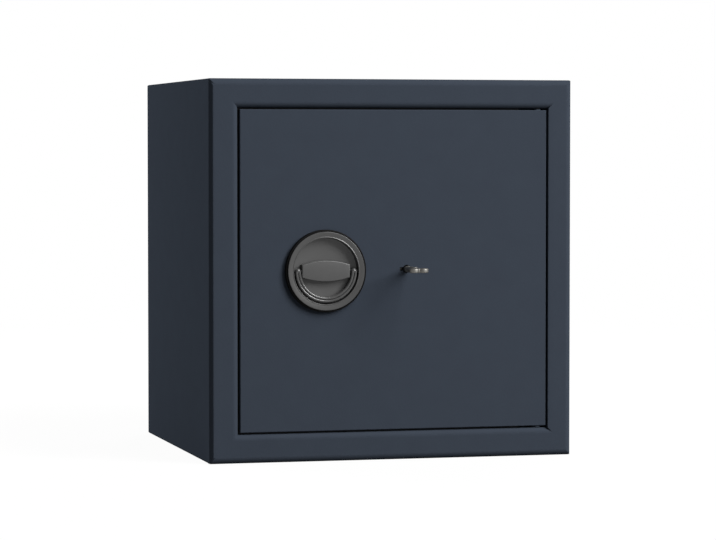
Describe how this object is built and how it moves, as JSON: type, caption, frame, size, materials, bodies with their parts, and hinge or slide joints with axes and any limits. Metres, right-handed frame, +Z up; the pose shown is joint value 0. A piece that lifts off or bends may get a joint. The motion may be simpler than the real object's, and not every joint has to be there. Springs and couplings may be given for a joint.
{
  "type": "furniture safe",
  "caption": "Steel key safe for a cupboard, with a flush hinged door, recessed turn handle with pull bow, double-bit key lock, bolt work and a lift-out shelf.",
  "frame": {"origin": "middle of the underside of the base", "axes": "+Z up, +X to the right seen from the front, the door faces -Y and the back wall faces +Y"},
  "size_m": [0.443, 0.4513, 0.45],
  "materials": {
    "paint": "fine textured powder coat, satin",
    "inner_paint": "powder coat, satin",
    "black_ring": "matt black",
    "blackened": "blackened steel, matt",
    "handle_grey": "dark grey, satin",
    "steel": "machined",
    "zinc_plate": "zinc plated",
    "brass": "drawn",
    "nickel": "nickel plated"
  },
  "bodies": {
    "carcass": {"body_shell": "paint", "back_panel": "paint", "door_stop_left": "blackened", "door_stop_top": "blackened", "door_stop_bottom": "blackened", "hinge_boss_top": "steel", "hinge_boss_bottom": "steel", "hinge_pin_top": "blackened", "hinge_pin_bottom": "blackened", "hinge_washer_bottom": "paint", "shelf_rails": "zinc_plate", "shelf_clips": "zinc_plate"},
    "shelf_board": {"shelf": "inner_paint"},
    "door": {"door_plate": "paint", "door_box": "paint", "door_cover": "inner_paint", "cover_screws": "zinc_plate", "hinge_washer_top": "paint", "hinge_block_top": "steel", "hinge_block_bottom": "steel", "hinge_side_bar": "steel", "handle_rosette": "black_ring", "handle_bracket": "zinc_plate", "bracket_screws": "zinc_plate", "handle_bush": "brass", "hard_plate": "steel", "lock_case": "zinc_plate", "lock_cover": "zinc_plate", "lock_screws": "zinc_plate", "lever_post": "steel", "carriage_guides": "steel", "rod_guide_top": "zinc_plate", "rod_guide_bottom": "zinc_plate"},
    "handle": {"handle_disc": "handle_grey", "grip_bar": "handle_grey", "bail_pins": "blackened", "handle_spindle": "steel", "drive_disc": "steel", "drive_pins": "zinc_plate", "spindle_screw": "zinc_plate"},
    "pull_bow": {"handle_bail": "handle_grey"},
    "carriage": {"bolt_carriage": "zinc_plate", "side_bolts": "nickel", "bolt_screws": "zinc_plate"},
    "top_bolt_set": {"top_rod": "zinc_plate", "top_bolt": "nickel", "top_bolt_pin": "steel"},
    "bottom_bolt_set": {"bottom_rod": "zinc_plate", "bottom_bolt": "nickel", "bottom_bolt_pin": "steel"},
    "curtain": {"lock_curtain": "blackened"},
    "key_set": {"key": "nickel"},
    "dead_bolt": {"lock_bolt": "steel"},
    "lever_pack": {"lock_levers": "brass"}
  },
  "joints": [
    {"name": "door_hinge", "type": "hinge", "parent": "carcass", "child": "door", "pos_m": [0.18, -0.1895, 0.225], "axis": [0, 0, 1], "range_deg": [0, 110]},
    {"name": "handle_turn", "type": "hinge", "parent": "door", "child": "handle", "pos_m": [-0.0825, -0.1955, 0.2246], "axis": [0, -1, 0], "range_deg": [0, 90]},
    {"name": "side_bolt_slide", "type": "slide", "parent": "door", "child": "carriage", "axis": [-1, 0, 0], "range_m": [0, 0.024]},
    {"name": "top_bolt_slide", "type": "slide", "parent": "door", "child": "top_bolt_set", "axis": [0, 0, 1], "range_m": [0, 0.024]},
    {"name": "bottom_bolt_slide", "type": "slide", "parent": "door", "child": "bottom_bolt_set", "axis": [0, 0, -1], "range_m": [0, 0.024]},
    {"name": "bow_fold", "type": "hinge", "parent": "handle", "child": "pull_bow", "pos_m": [-0.0825, -0.1989, 0.2246], "axis": [-1, 0, 0], "range_deg": [0, 90]},
    {"name": "key_turn", "type": "hinge", "parent": "door", "child": "curtain", "pos_m": [0.017, -0.1955, 0.226], "axis": [0, -1, 0], "range_deg": [0, 180]},
    {"name": "key_pull", "type": "slide", "parent": "curtain", "child": "key_set", "axis": [0, -1, 0], "range_m": [0, 0.05]},
    {"name": "dead_bolt_slide", "type": "slide", "parent": "door", "child": "dead_bolt", "axis": [0, 0, 1], "range_m": [0, 0.01]},
    {"name": "lever_tilt", "type": "hinge", "parent": "door", "child": "lever_pack", "pos_m": [0.047, -0.1955, 0.196], "axis": [0, -1, 0], "range_deg": [0, 6]},
    {"name": "shelf_lift", "type": "slide", "parent": "carcass", "child": "shelf_board", "axis": [0, 0, 1], "range_m": [0, 0.025]}
  ],
  "couplings": [
    {"joint": "handle_turn", "follows": "side_bolt_slide", "rad_per_m": 65.45},
    {"joint": "top_bolt_slide", "follows": "side_bolt_slide", "ratio": 1},
    {"joint": "bottom_bolt_slide", "follows": "side_bolt_slide", "ratio": 1},
    {"joint": "key_turn", "follows": "dead_bolt_slide", "rad_per_m": 314.16},
    {"joint": "lever_tilt", "follows": "dead_bolt_slide", "rad_per_m": 10.472}
  ]
}
